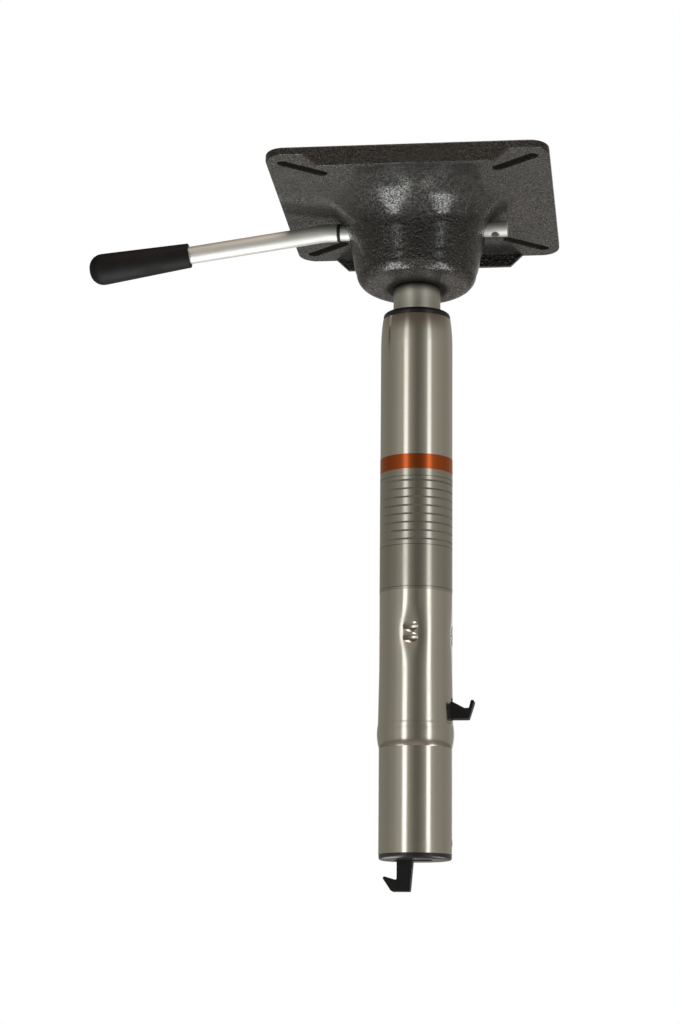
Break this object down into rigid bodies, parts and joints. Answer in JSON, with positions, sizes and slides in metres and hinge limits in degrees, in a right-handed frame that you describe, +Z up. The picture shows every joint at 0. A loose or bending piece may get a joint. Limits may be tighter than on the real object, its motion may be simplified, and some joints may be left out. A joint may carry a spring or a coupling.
{
  "type": "boat seat pedestal",
  "caption": "Gas-lift pedestal for a boat seat: a plug-in post with a spring latch, a lifting column, a release lever and a tilted square seat mount.",
  "frame": {"origin": "centre of the post's open lower end, on the post's axis", "axes": "+Z up along the post, +X to the latch trigger's side, -Y to the front of the seat, -X along the release lever"},
  "size_m": [0.299, 0.1718, 0.4378],
  "materials": {
    "satin_post": "satin, drawn along its length",
    "cylinder_steel": "ground, turned lines",
    "chromed_rod": "polished",
    "bright_steel": "machined",
    "valve_brass": "machined",
    "hammered_paint": "hammered powder coat",
    "lever_aluminium": "satin",
    "grip_moulding": "soft matte",
    "black_moulding": "moulded",
    "latch_moulding": "moulded",
    "black_rubber": "matte"
  },
  "bodies": {
    "post": {"outer_tube": "satin_post", "top_guide_bushing": "black_moulding", "latch_housing": "black_moulding", "latch_pin": "bright_steel", "latch_spring": "bright_steel", "anchor_disc": "bright_steel", "rod_washer": "bright_steel", "lower_race": "bright_steel"},
    "bearing": {"thrust_balls": "bright_steel", "thrust_cage": "black_moulding"},
    "rod": {"piston_rod": "chromed_rod", "piston": "bright_steel", "piston_seal": "black_rubber", "rod_clip": "bright_steel", "bump_stop": "black_rubber", "upper_race": "bright_steel"},
    "column": {"gas_cylinder": "cylinder_steel", "rod_gland": "black_moulding", "gland_seal": "black_rubber", "valve_body": "valve_brass", "seat_mount": "hammered_paint"},
    "button": {"release_button": "bright_steel"},
    "lever": {"lever_rod": "lever_aluminium", "lever_ring": "black_rubber", "lever_grip": "grip_moulding"},
    "latch": {"latch_lever": "latch_moulding"}
  },
  "joints": [
    {"name": "seat_swivel", "type": "hinge", "parent": "post", "child": "rod", "pos_m": [0, 0, 0.14], "axis": [0, 0, 1], "continuous": true},
    {"name": "bearing_roll", "type": "hinge", "parent": "post", "child": "bearing", "pos_m": [0, 0, 0.138], "axis": [0, 0, 1], "continuous": true},
    {"name": "seat_height", "type": "slide", "parent": "rod", "child": "column", "axis": [0, 0, 1], "range_m": [0, 0.095]},
    {"name": "lever_lift", "type": "hinge", "parent": "column", "child": "lever", "pos_m": [-0.04162, 0, 0.3935], "axis": [0, 1, 0], "range_deg": [0, 4], "stiffness_Nm_per_rad": 12, "springref_deg": -2.86},
    {"name": "button_press", "type": "slide", "parent": "column", "child": "button", "axis": [0, 0, -1], "range_m": [0, 0.0031]},
    {"name": "latch_release", "type": "hinge", "parent": "post", "child": "latch", "pos_m": [-0.0055, 0, 0.034], "axis": [0, -1, 0], "range_deg": [0, 9.5], "stiffness_Nm_per_rad": 0.8, "springref_deg": -4.58, "deforming": ["latch_spring"]}
  ],
  "couplings": [
    {"joint": "bearing_roll", "follows": "seat_swivel", "ratio": 0.5},
    {"joint": "button_press", "follows": "lever_lift", "m_per_rad": 0.0424}
  ]
}
